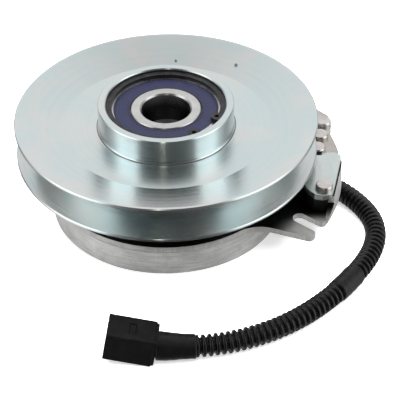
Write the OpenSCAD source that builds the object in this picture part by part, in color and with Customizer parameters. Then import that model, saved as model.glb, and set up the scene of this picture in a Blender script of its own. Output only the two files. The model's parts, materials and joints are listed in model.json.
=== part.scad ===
// Electromagnetic belt-drive clutch and brake, on a 25.4 mm shaft.
// Millimetres. +Z runs up the shaft axis. The origin is the centre of the shaft bore on the
// bottom face, which is the face that stands on the engine side or on a bench.

/* [Shaft and bearings] */
// Diameter of the shaft bore
shaft_d = 25.4; // [25.2:0.1:25.6]
// Width of the keyway in the rotor hub
key_w = 6.35; // [4.8:0.05:6.4]
// Outer diameter of the pulley bearing
bearing_d = 62; // [61.8:0.1:62]
// Width of the pulley bearing
bearing_w = 16; // [15.8:0.1:16]
// Height of the underside of the pulley bearing
bearing_z = 43.85; // [43.7:0.05:44]

/* [Pulley] */
// Outer diameter of the pulley
pulley_d = 156.8; // [152:0.2:158]
// Height of the underside of the pulley rim
pulley_z = 35.9; // [35.6:0.1:36.5]
// Width across the two rims
pulley_w = 20.1; // [19.5:0.1:20.5]
// Diameter of the floor of the belt groove
groove_root_d = 128.8; // [128:0.2:131]
// Half angle of the belt groove
groove_half_angle = 17; // [15:0.5:17]
// Outer diameter of the hub wall
hub_d = 70.3; // [69.5:0.1:72]
// Height of the top of the hub wall
hub_top_z = 63.6; // [63.2:0.1:64.5]

/* [Field] */
// Outer diameter of the field shell
shell_d = 123.4; // [122.8:0.2:124]
// Height of the field shell
shell_h = 15.3; // [15.2:0.1:15.4]
// Thickness of the torque plate
plate_t = 3.2; // [2.6:0.1:3.2]

/* [Ear] */
// Radius of the outer edge of the ear
ear_r = 91.4; // [91.2:0.1:92]
// Height of the top of the upright tab
tab_top_z = 27.7; // [27.5:0.1:27.7]
// Radius of the closed end of the locating slot
slot_r = 3.6; // [3.3:0.1:3.8]
// Diameter of the brake rivet heads
rivet_head_d = 9; // [7:0.5:9]

/* [Magnet gap] */
// Free travel of the armature between brake and rotor
air_gap = 0.45; // [0.4:0.01:0.45]

/* [Lead] */
// Outer diameter of the corrugated loom
loom_d = 10.8; // [10:0.2:11]

/* [Hidden] */

$fn = 96;
tiny = 0.01;

// Shaft and pulley bearing
shaft_r = shaft_d / 2;
race_od_r = bearing_d / 2;
bearing_top = bearing_z + bearing_w;
bore_chamfer = 0.8;
land_r = 18.15;
race_shoulder_r = 20.15;
seal_seat_r = 27.1;
outer_shoulder_r = 25.85;
ball_r = 4.7625;
ball_count = 9;
ball_pitch_r = 23;
ball_groove_r = 5;
ball_z = bearing_z + bearing_w / 2;
seal_t = 1.2;
seal_recess = 0.45;

// Field bearing, 40 x 62 x 12
field_bore_r = 20;
field_od_r = 31;
field_bearing_w = 12;
field_bearing_z = 1.2;
field_inner_shoulder_r = 23.4;
field_outer_shoulder_r = 27.6;
field_ball_r = 3.3735;
field_ball_count = 15;
field_pitch_r = 25.5;
field_groove_r = 3.55;
field_ball_z = field_bearing_z + field_bearing_w / 2;
field_seal_t = 0.9;
clip_t = 1.2;
clip_z = field_bearing_z + field_bearing_w;

// Field shell and coil
shell_r = shell_d / 2;
shell_floor = 3;
outer_pole_r = 54.5;
inner_pole_r = 36.5;
coil_in = 38;
coil_out = 53;
coil_z0 = 4.4;
coil_z1 = 12.4;
bobbin_top = 13.6;
potting_top = 15;
lead_angle = 6;
lead_z = 6.5;
lead_hole_r = 3.4;

// Torque plate
plate_z = shell_h;
plate_top = plate_z + plate_t;
plate_r = shell_r + 0.3;
plate_hole_r = 58;
tab_t = 2.9;
tab_r = ear_r + 1;
tab_from = -28.6;
tab_to = -3.8;
tab_bend_r = 2.4;
tab_face_angle = -14.1;
tab_face = 90.7;
tab_near = -13.2;
tab_far = 16.6;
tab_slope = [[-13.2, 40], [-13.2, 22.6], [-14.4, 21.9], [-30, 15.6], [-50, 15.6], [-50, 40]];
fillet_r = 17.5;
fillet_centre = [45.6, -65.2];
fillet_from = 124.5;
fillet_to = 64.5;
slot_centre = [66.9, -41.4];
slot_upper_angle = -41;
slot_lower_angle = -42;
slot_reach = 34;
prong_angle = -38.6;
ear_back = [[89.3, 6], [89.3, 31], [82, 40], [44, 40], [40, 0], [30, -40]];
corner_r = 2.4;

// Rotor
rotor_r = 57.2;
rotor_z0 = shell_h + 0.6;
friction_z = 23.2;
hub_shoulder_r = 22.4;
neck_r = 18;
neck_top = 30;
spacer_r = 17.5;
key_depth = 3.2;
flux_slot_r = [40, 43.4];
flux_slot_count = 6;
flux_slot_angle = 46;
lining_r = [46.4, 51.4];
lining_t = 2.4;

// Armature, springs and their rivets
armature_t = 4;
armature_z0 = friction_z + air_gap;
armature_top = armature_z0 + armature_t;
armature_in = 25;
armature_out = 60;
pad_h = 0.55;
pad_r = 5.4;
spring_z = armature_top + pad_h;
spring_t = 0.8;
spring_top = spring_z + spring_t;
spring_w = 10;
spring_count = 3;
spring_pitch_r = 44;
spring_span = 52;
spring_hole_r = 2.5;
head_r = 3.9;
head_h = 1.2;
post_hole = 9;

// Pulley section
pulley_r = pulley_d / 2;
rim_z = pulley_z + pulley_w;
rim_t = 1.75;
edge = 0.5;
groove_root_r = groove_root_d / 2;
wall_rise = (pulley_r - edge - groove_root_r) * tan(groove_half_angle);
web_z = 49.8;
web_r = 54.3;
cone_r = 76.6;
web_under = 45.6;
drum_r = 61.4;
hub_r = hub_d / 2;
hub_fillet = 1.5;
shoulder_r = 28.5;
drive_in = 38;
drive_out = 50;
drive_z = 33;
snap_z = bearing_top + 0.1;
snap_t = 2;
snap_ring_t = 1.85;
snap_groove_r = 32.6;
snap_in_r = 28;
snap_gap_angle = -41.7;
snap_gap = 26;
lug_r = 3.1;
lug_hole_r = 1.25;
lug_pitch_r = 27.9;
lug_spread = 18.8;

// Brake
strap_z = tab_top_z;
strap_t = 2.3;
strap_top = strap_z + strap_t;
backing_z = 25.6;
brake_out = 90.2;
brake_in = 54.5;
armature_clear_r = 61.5;
brake_end = [[91.8, -7], [91.2, -4], [88.4, -1.8], [84.4, -1.8], [80.8, -4]];
brake_root = -2.6;
brake_heel = [69.8, -27.6];
brake_nose = [[71.3, -32.6], [74.8, -37], [79, -38.4], [83, -37.6], [86.4, -35.2]];
inside_tab = tab_face - tab_t;
rear_z = 26.4;
rear_t = 2.3;
rear_top = rear_z + rear_t;
rear_outline = [
    [62.5, 3], [80.6, -1.4], [91, -1.4], [90.4, 5], [88, 18.5], [89, 20.6], [89.9, 29.6],
    [88.5, 34], [83, 40.2], [76, 41], [60, 24]
];
spacer_outline = [[63, 5], [76, -1], [87.5, -1], [87.5, 31], [82, 37.5], [76, 37], [60.5, 20]];
rivet_head_r = rivet_head_d / 2;
rivet_head_h = 2.4;
rivet_shank_r = 2.6;
foot_r = 3.9;
foot_h = 1.2;
front_rivets = [[79.9, -31.4], [66, -14]];
rear_rivets = [[85, 26.2], [82.3, 14.1], [79.6, 2.8]];

// Connector
connector_l = 24.4;
connector_w = 15.1;
connector_h = 15.8;
connector_foot = [-8.6, -119.35, 0];
connector_angle = -5.9;
connector_pitch = 9.95;
cavity_w = 3.8;
cavity_h = 8;
cavity_depth = 17;
terminal_x = 2.5;
blade_t = 0.8;
lock_x = -1.6;
lock_l = 3;
lock_w = 6.4;
lock_t = 2.1;
connector_lip = 1.4;
cavity_gap = 2.6;

// Loom route: out of the grommet, under the ear, then along the bench to the connector
loom_r = loom_d / 2;
tape_r = loom_r + 0.35;
tape_end_r = loom_r + 0.7;
loom_rest = 5.9;
loom_route = [
    [63.1, 6.6, 6.4], [70, 7.4, 6.2], [77.5, 6.5, loom_rest], [85, 2.8, loom_rest],
    [92.2, -3.8, loom_rest], [98.7, -12, loom_rest], [103.8, -21.3, loom_rest],
    [106.6, -31, loom_rest], [106.7, -41, loom_rest], [104.5, -50, loom_rest],
    [100.9, -58.3, loom_rest], [95.9, -66.5, loom_rest], [90.1, -74.4, loom_rest],
    [83.5, -82.3, loom_rest], [76.1, -90, loom_rest], [67.8, -97.3, loom_rest],
    [58.8, -103.8, loom_rest], [49.2, -109.3, loom_rest], [39.1, -113.6, loom_rest],
    [28.6, -116.9, loom_rest], [18, -119, 6.2], [8.5, -119.9, 6.5], [0.5, -120.1, 7],
    [-7.9, -119.8, 7.6]
];
route_steps = 3;
loom_path = smooth(loom_route, route_steps);
band_from = 35;
band_to = 40;
end_from = 62;
sweep_sides = 12;

// ---- helpers ----

function arc(r, a0, a1, n, c = [0, 0]) =
    [for (i = [0:n]) c + r * [cos(a0 + (a1 - a0) * i / n), sin(a0 + (a1 - a0) * i / n)]];

// A Catmull-Rom curve through the points p, with n steps between neighbours
function smooth(p, n) = let (last = len(p) - 1) concat(
    [for (i = [0:last - 1], k = [0:n - 1])
        let (
            t = k / n,
            a = p[max(i - 1, 0)],
            b = p[i],
            c = p[i + 1],
            d = p[min(i + 2, last)]
        )
        0.5 * (2 * b + (c - a) * t + (2 * a - 5 * b + 4 * c - d) * t * t
            + (3 * b - a - 3 * c + d) * t * t * t)],
    [p[last]]
);

function heading(p, i) = let (v = p[min(i + 1, len(p) - 1)] - p[max(i - 1, 0)]) v / norm(v);

function ring(p, i, r, sides) =
    let (t = heading(p, i), side = cross(t, [0, 0, 1]) / norm(cross(t, [0, 0, 1])), up = cross(side, t))
    [for (k = [0:sides - 1]) p[i] + r * (cos(360 * k / sides) * side + sin(360 * k / sides) * up)];

// A closed tube of radius r swept along the points p
module sweep(p, r, sides) {
    rings = len(p);
    points = [for (i = [0:rings - 1]) each ring(p, i, r, sides)];
    ends = [
        [for (k = [0:sides - 1]) k],
        [for (k = [sides - 1:-1:0]) (rings - 1) * sides + k]
    ];
    walls = [for (i = [0:rings - 2], k = [0:sides - 1])
        let (n = (k + 1) % sides)
        [i * sides + k, (i + 1) * sides + k, (i + 1) * sides + n, i * sides + n]];
    polyhedron(points, concat(ends, walls));
}

module tube(r_out, r_in, h) {
    difference() {
        cylinder(r = r_out, h = h);
        translate([0, 0, -1]) cylinder(r = r_in, h = h + 2);
    }
}

module torus(r, section_r) {
    rotate_extrude() translate([r, 0]) circle(r = section_r, $fn = 48);
}

module rounded(r) {
    offset(r = r, $fn = 32) offset(delta = -r) children();
}

module around(count, from = 0) {
    for (i = [0:count - 1]) rotate(from + 360 * i / count) children();
}

// A rivet through a stack from z0 up to z1, with a turned head above and a formed one below
module rivet(p, z0, z1) {
    translate([p[0], p[1], 0]) rotate_extrude($fn = 48) polygon([
        [0, z0 - foot_h], [foot_r - 0.5, z0 - foot_h], [foot_r, z0 - foot_h + 0.5], [foot_r, z0],
        [rivet_shank_r, z0], [rivet_shank_r, z1], [rivet_head_r, z1],
        [rivet_head_r, z1 + rivet_head_h - 0.6], [rivet_head_r - 0.6, z1 + rivet_head_h],
        [0, z1 + rivet_head_h]
    ]);
}

module rivet_holes(points) {
    for (p = points) translate([p[0], p[1], plate_z - 1])
        cylinder(r = rivet_shank_r + 0.05, h = strap_top, $fn = 32);
}

// ---- field assembly ----

module field_shell() {
    color([0.55, 0.56, 0.56]) difference() {
        rotate_extrude() polygon([
            [field_outer_shoulder_r + 1, 0], [shell_r - 1.2, 0], [shell_r - 0.2, 0.8],
            [shell_r, 2.4], [shell_r, shell_h - 0.7], [shell_r - 0.7, shell_h],
            [outer_pole_r, shell_h], [outer_pole_r, shell_floor], [inner_pole_r, shell_floor],
            [inner_pole_r, shell_h], [field_od_r, shell_h], [field_od_r, clip_z + clip_t],
            [field_od_r + 1.2, clip_z + clip_t], [field_od_r + 1.2, clip_z],
            [field_od_r, clip_z], [field_od_r, field_bearing_z],
            [field_outer_shoulder_r + 1, field_bearing_z]
        ]);
        rotate(lead_angle) translate([outer_pole_r - 2, 0, lead_z]) rotate([0, 90, 0])
            cylinder(r = lead_hole_r, h = 12, $fn = 48);
    }
}

module coil_bobbin() {
    color([0.85, 0.83, 0.76]) rotate_extrude() polygon([
        [inner_pole_r + 0.3, shell_floor], [outer_pole_r - 0.3, shell_floor],
        [outer_pole_r - 0.3, coil_z0], [coil_in, coil_z0], [coil_in, coil_z1],
        [outer_pole_r - 0.3, coil_z1], [outer_pole_r - 0.3, bobbin_top],
        [inner_pole_r + 0.3, bobbin_top]
    ]);
}

module coil_winding() {
    color([0.72, 0.38, 0.2]) translate([0, 0, coil_z0]) tube(coil_out, coil_in, coil_z1 - coil_z0);
}

module coil_potting() {
    color([0.12, 0.13, 0.14]) translate([0, 0, bobbin_top])
        tube(outer_pole_r - 0.1, inner_pole_r + 0.1, potting_top - bobbin_top);
}

module coil_leads() {
    color([0.1, 0.1, 0.1]) rotate(lead_angle) for (side = [-1, 1])
        translate([coil_out + 0.1, side * 1.05, lead_z]) rotate([0, 90, 0])
            cylinder(r = 0.9, h = 10.2, $fn = 24);
}

module ear_outline() {
    outer = arc(ear_r, prong_angle, -1.5, 24);
    fillet = arc(fillet_r, fillet_from, fillet_to, 14, fillet_centre);
    rounded(corner_r) difference() {
        polygon(concat(fillet, outer, ear_back));
        translate(slot_centre) circle(r = slot_r, $fn = 48);
        translate(slot_centre) polygon([
            slot_r * [cos(slot_upper_angle + 90), sin(slot_upper_angle + 90)],
            slot_r * [cos(slot_upper_angle + 90), sin(slot_upper_angle + 90)]
                + slot_reach * [cos(slot_upper_angle), sin(slot_upper_angle)],
            slot_r * [cos(slot_lower_angle - 90), sin(slot_lower_angle - 90)]
                + slot_reach * [cos(slot_lower_angle), sin(slot_lower_angle)],
            slot_r * [cos(slot_lower_angle - 90), sin(slot_lower_angle - 90)]
        ]);
    }
}

// A thin slice of the tab's foot, with its outer edge at radius r and its underside at height z
module foot_slice(r, z) {
    translate([0, 0, z]) linear_extrude(0.02)
        polygon(concat(arc(r, tab_from, tab_to, 16), arc(r - 8, tab_to, tab_from, 8)));
}

// Upright tab: its foot follows the plate's round edge and its top is straight
module tab() {
    difference() {
        hull() {
            for (a = [0, 30, 60, 90])
                foot_slice(tab_r - tab_bend_r * (1 - sin(a)), plate_z + tab_bend_r * (1 - cos(a)));
            rotate(tab_face_angle) translate([tab_face - tab_t, tab_near, tab_top_z - 0.02])
                cube([tab_t, tab_far - tab_near, 0.02]);
        }
        rotate(tab_face_angle) {
            translate([inside_tab - 40, -60, plate_top]) cube([40, 120, 40]);
            translate([60, 0, 0]) rotate([90, 0, 90]) linear_extrude(60) polygon(tab_slope);
        }
    }
}

module torque_plate() {
    color([0.07, 0.07, 0.08]) difference() {
        union() {
            translate([0, 0, plate_z]) cylinder(r = plate_r, h = plate_t);
            translate([0, 0, plate_z]) linear_extrude(plate_t) ear_outline();
            tab();
        }
        translate([0, 0, plate_z - 1]) cylinder(r = plate_hole_r, h = plate_t + 2);
        rivet_holes(front_rivets);
        rivet_holes(rear_rivets);
    }
}

// Outline of the brake's stacked pieces: straight outside at distance face, shortened at the nose by less
module brake_outline(r_in, face, less) {
    rounded(3) intersection() {
        polygon(concat(
            brake_end,
            arc(r_in, brake_root, atan2(brake_heel[1], brake_heel[0]), 12),
            [for (p = concat([brake_heel], brake_nose)) p + [0, less]]
        ));
        rotate(tab_face_angle) translate([face - 60, -60]) square([60, 120]);
    }
}

module brake_magnet_front() {
    color([0.06, 0.06, 0.07]) difference() {
        translate([0, 0, plate_top]) linear_extrude(backing_z - plate_top)
            brake_outline(armature_clear_r, inside_tab, 2);
        rivet_holes(front_rivets);
    }
}

module brake_backing_front() {
    color([0.7, 0.74, 0.73]) difference() {
        translate([0, 0, backing_z]) linear_extrude(strap_z - backing_z)
            brake_outline(armature_clear_r, inside_tab, 1.4);
        rivet_holes(front_rivets);
    }
}

module brake_strap_front() {
    color([0.78, 0.83, 0.82]) difference() {
        translate([0, 0, strap_z]) linear_extrude(strap_t) brake_outline(brake_in, brake_out, 0);
        rivet_holes(front_rivets);
    }
}

module brake_rivets_front() {
    color([0.75, 0.72, 0.7]) for (p = front_rivets)
        rivet(p, plate_z, strap_top);
}

module brake_spacer_rear() {
    color([0.06, 0.06, 0.07]) difference() {
        translate([0, 0, plate_top]) linear_extrude(rear_z - plate_top)
            rounded(2) polygon(spacer_outline);
        rivet_holes(rear_rivets);
    }
}

module brake_plate_rear() {
    color([0.68, 0.65, 0.6]) difference() {
        translate([0, 0, rear_z]) linear_extrude(rear_t) rounded(1.2) polygon(rear_outline);
        rivet_holes(rear_rivets);
    }
}

module brake_rivets_rear() {
    color([0.72, 0.69, 0.65]) for (p = rear_rivets)
        rivet(p, plate_z, rear_top);
}

module lead_grommet() {
    color([0.08, 0.08, 0.08]) rotate(lead_angle) translate([shell_r + 0.1, 0, lead_z])
        rotate([0, 90, 0]) difference() {
            rotate_extrude($fn = 48) polygon([
                [0, -3.4], [lead_hole_r - 0.1, -3.4], [lead_hole_r - 0.1, 0], [5.2, 0], [5, 1.6],
                [0, 1.6]
            ]);
            for (side = [-1, 1]) translate([0, side * 1.05, -6]) cylinder(r = 0.95, h = 12, $fn = 24);
        }
}

// ---- lead and connector ----

module loom() {
    color([0.05, 0.05, 0.05]) sweep(loom_path, loom_r, sweep_sides);
}

module tape_band() {
    color([0.08, 0.08, 0.08])
        sweep([for (i = [band_from:band_to]) loom_path[i]], tape_r, sweep_sides);
}

module tape_end() {
    color([0.09, 0.09, 0.09])
        sweep([for (i = [end_from:len(loom_path) - 1]) loom_path[i]], tape_end_r, sweep_sides);
}

module at_connector() {
    translate(connector_foot) rotate([0, connector_pitch, connector_angle])
        translate([-connector_l / 2, 0, 0]) children();
}

module connector_housing() {
    color([0.07, 0.07, 0.07]) at_connector() difference() {
        union() {
            translate([-connector_l / 2, -connector_w / 2, 0])
                cube([connector_l - connector_lip, connector_w, connector_h]);
            translate([connector_l / 2 - connector_lip - tiny, -connector_w / 2 + 0.5, 0.5])
                cube([connector_lip + tiny, connector_w - 1, connector_h - 1]);
        }
        for (side = [-1, 1]) translate([
            -connector_l / 2 - 1,
            side * (cavity_w + cavity_gap) / 2 - cavity_w / 2,
            (connector_h - cavity_h) / 2
        ]) cube([cavity_depth + 1, cavity_w, cavity_h]);
        translate([lock_x, -lock_w / 2, connector_h - lock_t]) cube([lock_l, lock_w, lock_t + 1]);
    }
}

module connector_terminals() {
    body_l = cavity_depth - terminal_x;
    body_w = cavity_w - 0.6;
    body_h = cavity_h - 1;
    color([0.8, 0.72, 0.45]) at_connector() for (side = [-1, 1])
        translate([-connector_l / 2 + terminal_x, side * (cavity_w + cavity_gap) / 2, connector_h / 2])
            difference() {
                translate([0, -body_w / 2, -body_h / 2]) cube([body_l, body_w, body_h]);
                translate([-1, -body_w / 2 + blade_t, -body_h / 2 + blade_t])
                    cube([9, body_w - 2 * blade_t, body_h - 2 * blade_t]);
            }
}

module connector_lock() {
    color([0.1, 0.1, 0.1]) at_connector()
        translate([lock_x + 0.05, -lock_w / 2 + 0.05, connector_h - lock_t])
            cube([lock_l - 0.1, lock_w - 0.1, lock_t - 0.4]);
}

// ---- rotor ----

module keyway(z0, z1) {
    translate([0, -key_w / 2, z0]) cube([shaft_r + key_depth, key_w, z1 - z0]);
}

module rotor() {
    color([0.5, 0.5, 0.52]) difference() {
        rotate_extrude() polygon([
            [shaft_r, 0], [field_bore_r - 0.6, 0], [field_bore_r, 0.6], [field_bore_r, clip_z],
            [hub_shoulder_r, clip_z], [hub_shoulder_r, rotor_z0], [rotor_r - 0.6, rotor_z0],
            [rotor_r, rotor_z0 + 0.6], [rotor_r, friction_z - 0.4], [rotor_r - 0.4, friction_z],
            [lining_r[1], friction_z], [lining_r[1], friction_z - lining_t],
            [lining_r[0], friction_z - lining_t], [lining_r[0], friction_z],
            [neck_r, friction_z], [neck_r, neck_top], [shaft_r, neck_top]
        ]);
        around(flux_slot_count) translate([0, 0, rotor_z0 - 1])
            rotate_extrude(angle = flux_slot_angle) translate([flux_slot_r[0], 0])
                square([flux_slot_r[1] - flux_slot_r[0], friction_z - rotor_z0 + 2]);
        rotate(90) keyway(-1, neck_top + 1);
    }
}

module friction_ring() {
    color([0.3, 0.26, 0.22]) translate([0, 0, friction_z - lining_t])
        tube(lining_r[1], lining_r[0], lining_t);
}

module bearing_spacer() {
    color([0.62, 0.62, 0.6]) translate([0, 0, neck_top])
        tube(spacer_r, shaft_r, bearing_z - neck_top);
}

// ---- bearings ----

module field_bearing_inner() {
    color([0.75, 0.75, 0.75]) difference() {
        translate([0, 0, field_bearing_z]) rotate_extrude() polygon([
            [field_bore_r, 0], [22.2, 0], [22.2, 1.3], [field_inner_shoulder_r, 1.3],
            [field_inner_shoulder_r, field_bearing_w - 1.3], [22.2, field_bearing_w - 1.3],
            [22.2, field_bearing_w], [field_bore_r, field_bearing_w]
        ]);
        translate([0, 0, field_ball_z]) torus(field_pitch_r, field_groove_r);
    }
}

module field_bearing_outer() {
    color([0.75, 0.75, 0.75]) difference() {
        translate([0, 0, field_bearing_z]) rotate_extrude() polygon([
            [field_od_r, 0], [field_od_r, field_bearing_w], [28.6, field_bearing_w],
            [28.6, field_bearing_w - 1.3], [field_outer_shoulder_r, field_bearing_w - 1.3],
            [field_outer_shoulder_r, 1.3], [28.6, 1.3], [28.6, 0]
        ]);
        translate([0, 0, field_ball_z]) torus(field_pitch_r, field_groove_r);
    }
}

module field_bearing_seals() {
    color([0.1, 0.1, 0.12]) for (z = [field_bearing_z + 0.3, clip_z - 0.3 - field_seal_t])
        translate([0, 0, z]) tube(28.6, 22.5, field_seal_t);
}

module field_bearing_clip() {
    color([0.2, 0.2, 0.22]) difference() {
        translate([0, 0, clip_z]) tube(field_od_r + 1.1, 28.6, clip_t - 0.05);
        rotate(140) translate([26, -4, clip_z - 1]) cube([8, 8, 4]);
    }
}

module cage_ring(pitch_r, ball_r, count, z, width, half_h) {
    difference() {
        translate([0, 0, z - half_h]) tube(pitch_r + width / 2, pitch_r - width / 2, 2 * half_h);
        around(count) translate([pitch_r, 0, z]) sphere(r = ball_r + 0.1, $fn = 40);
    }
}

module ball_set(pitch_r, ball_r, count, z) {
    around(count) translate([pitch_r, 0, z]) sphere(r = ball_r, $fn = 40);
}

module field_bearing_balls() {
    color([0.8, 0.8, 0.82]) ball_set(field_pitch_r, field_ball_r, field_ball_count, field_ball_z);
}

module field_bearing_cage() {
    color([0.7, 0.68, 0.55])
        cage_ring(field_pitch_r, field_ball_r, field_ball_count, field_ball_z, 2.6, 3.8);
}

module pulley_bearing_inner() {
    color([0.82, 0.82, 0.8]) difference() {
        translate([0, 0, bearing_z]) rotate_extrude() polygon([
            [shaft_r + bore_chamfer, bearing_w], [shaft_r, bearing_w - bore_chamfer], [shaft_r, 0],
            [land_r, 0], [land_r, 2.4], [race_shoulder_r, 2.4], [race_shoulder_r, bearing_w - 2.4],
            [land_r, bearing_w - 2.4], [land_r, bearing_w - 0.4], [land_r - 0.4, bearing_w]
        ]);
        translate([0, 0, ball_z]) torus(ball_pitch_r, ball_groove_r);
    }
}

module pulley_bearing_outer() {
    color([0.75, 0.75, 0.74]) difference() {
        translate([0, 0, bearing_z]) rotate_extrude() polygon([
            [race_od_r - 0.5, 0], [race_od_r, 0.5], [race_od_r, bearing_w - 0.5],
            [race_od_r - 0.5, bearing_w], [seal_seat_r, bearing_w], [seal_seat_r, bearing_w - 2.2],
            [outer_shoulder_r, bearing_w - 2.2], [outer_shoulder_r, 2.2], [seal_seat_r, 2.2],
            [seal_seat_r, 0]
        ]);
        translate([0, 0, ball_z]) torus(ball_pitch_r, ball_groove_r);
    }
}

module bearing_seal(flip) {
    face = bearing_w / 2 - seal_recess;
    translate([0, 0, ball_z]) mirror([0, 0, flip]) rotate_extrude() polygon([
        [land_r + 0.3, face - seal_t], [seal_seat_r, face - seal_t], [seal_seat_r, face],
        [seal_seat_r - 0.9, face], [seal_seat_r - 1.2, face - 0.25], [land_r + 1.6, face - 0.25],
        [land_r + 1.3, face], [land_r + 0.3, face]
    ]);
}

module pulley_seal_upper() {
    color([0.2, 0.19, 0.42]) bearing_seal(0);
}

module pulley_seal_lower() {
    color([0.2, 0.19, 0.42]) bearing_seal(1);
}

module pulley_bearing_balls() {
    color([0.8, 0.8, 0.82]) ball_set(ball_pitch_r, ball_r, ball_count, ball_z);
}

module pulley_bearing_cage() {
    color([0.7, 0.68, 0.55]) cage_ring(ball_pitch_r, ball_r, ball_count, ball_z, 3.4, 4.6);
}

module snap_ring() {
    gap_edges = [snap_gap_angle - snap_gap / 2, snap_gap_angle + snap_gap / 2];
    lug_angles = [snap_gap_angle - lug_spread, snap_gap_angle + lug_spread];
    color([0.12, 0.11, 0.13]) translate([0, 0, snap_z]) linear_extrude(snap_ring_t) difference() {
        union() {
            difference() {
                circle(r = snap_groove_r - 0.3);
                circle(r = snap_in_r);
                polygon([[0, 0], for (a = gap_edges) 40 * [cos(a), sin(a)]]);
            }
            for (a = lug_angles) translate(lug_pitch_r * [cos(a), sin(a)]) circle(r = lug_r, $fn = 48);
        }
        for (a = lug_angles) translate(lug_pitch_r * [cos(a), sin(a)])
            circle(r = lug_hole_r, $fn = 32);
    }
}

// ---- pulley, springs and armature ----

module pulley() {
    color([0.74, 0.8, 0.8]) difference() {
        union() {
            pulley_section();
            around(spring_count) translate([spring_pitch_r, 0, spring_top])
                cylinder(r = pad_r, h = drive_z - spring_top + 1, $fn = 48);
        }
        around(spring_count) translate([spring_pitch_r, 0, spring_top - 1])
            cylinder(r = spring_hole_r - 0.05, h = post_hole + 1, $fn = 32);
    }
}

module pulley_section() {
    rim_low = pulley_z + rim_t;
    rim_high = rim_z - rim_t;
    rotate_extrude() polygon(concat(
        [
            [shoulder_r, 36], [shoulder_r, bearing_z], [race_od_r, bearing_z],
            [race_od_r, snap_z - 0.05], [snap_groove_r, snap_z - 0.05],
            [snap_groove_r, snap_z + snap_t], [race_od_r, snap_z + snap_t],
            [race_od_r, hub_top_z - edge], [race_od_r + edge, hub_top_z],
            [hub_r - edge, hub_top_z], [hub_r, hub_top_z - edge]
        ],
        arc(hub_fillet, 180, 270, 6, [hub_r + hub_fillet, web_z + hub_fillet]),
        [
            [web_r, web_z], [cone_r, rim_z], [pulley_r - edge, rim_z],
            [pulley_r, rim_z - edge], [pulley_r, rim_high + edge], [pulley_r - edge, rim_high],
            [groove_root_r, rim_high - wall_rise], [groove_root_r, rim_low + wall_rise],
            [pulley_r - edge, rim_low], [pulley_r, rim_low - edge], [pulley_r, pulley_z + edge],
            [pulley_r - edge, pulley_z], [cone_r, pulley_z], [drum_r, pulley_z + 4.6],
            [drum_r, web_under - 1], [drum_r - 1, web_under], [drive_out, web_under],
            [drive_out, drive_z + 1], [drive_out - 1, drive_z], [drive_in, drive_z],
            [drive_in, 36]
        ]
    ));
}

module one_spring() {
    difference() {
        linear_extrude(spring_t) hull() {
            translate([spring_pitch_r, 0]) circle(r = spring_w / 2, $fn = 32);
            rotate(spring_span) translate([spring_pitch_r, 0]) circle(r = spring_w / 2, $fn = 32);
        }
        for (a = [0, spring_span]) rotate(a) translate([spring_pitch_r, 0, -1])
            cylinder(r = spring_hole_r, h = spring_t + 2, $fn = 32);
    }
}

module leaf_springs() {
    color([0.6, 0.62, 0.66]) around(spring_count) translate([0, 0, spring_z]) one_spring();
}

module spring_rivets() {
    color([0.66, 0.66, 0.66]) around(spring_count) translate([spring_pitch_r, 0, 0]) {
        translate([0, 0, spring_z])
            cylinder(r = spring_hole_r - 0.05, h = spring_t + post_hole, $fn = 32);
        translate([0, 0, spring_z - 0.35]) cylinder(r = head_r, h = 0.35, $fn = 32);
    }
}

module armature() {
    color([0.42, 0.42, 0.44]) difference() {
        union() {
            translate([0, 0, armature_z0]) tube(armature_out, armature_in, armature_t);
            around(spring_count, spring_span) translate([spring_pitch_r, 0, armature_top - tiny])
                cylinder(r = pad_r, h = pad_h + tiny, $fn = 48);
        }
        around(spring_count, spring_span) translate([spring_pitch_r, 0, armature_z0 - 1])
            cylinder(r = spring_hole_r - 0.05, h = armature_t + 3, $fn = 32);
    }
}

module armature_rivets() {
    color([0.66, 0.66, 0.66]) around(spring_count, spring_span) translate([spring_pitch_r, 0, 0]) {
        translate([0, 0, armature_z0])
            cylinder(r = spring_hole_r - 0.05, h = spring_top - armature_z0, $fn = 32);
        translate([0, 0, spring_top]) cylinder(r = head_r, h = head_h, $fn = 32);
    }
}

field_shell();
coil_bobbin();
coil_winding();
coil_potting();
coil_leads();
torque_plate();
field_bearing_outer();
field_bearing_seals();
field_bearing_clip();
brake_magnet_front();
brake_backing_front();
brake_strap_front();
brake_rivets_front();
brake_spacer_rear();
brake_plate_rear();
brake_rivets_rear();
lead_grommet();
loom();
tape_band();
tape_end();
connector_housing();
connector_terminals();
connector_lock();
rotor();
friction_ring();
bearing_spacer();
field_bearing_inner();
pulley_bearing_inner();
pulley();
pulley_bearing_outer();
pulley_seal_upper();
pulley_seal_lower();
snap_ring();
leaf_springs();
spring_rivets();
armature();
armature_rivets();
pulley_bearing_balls();
pulley_bearing_cage();
field_bearing_balls();
field_bearing_cage();
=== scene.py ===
"""Looks of an electromagnetic belt-drive clutch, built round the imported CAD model. Metres throughout."""
import json
import math
from collections import namedtuple

import bmesh
import bpy
import numpy as np
from mathutils import Matrix, Vector


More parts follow.
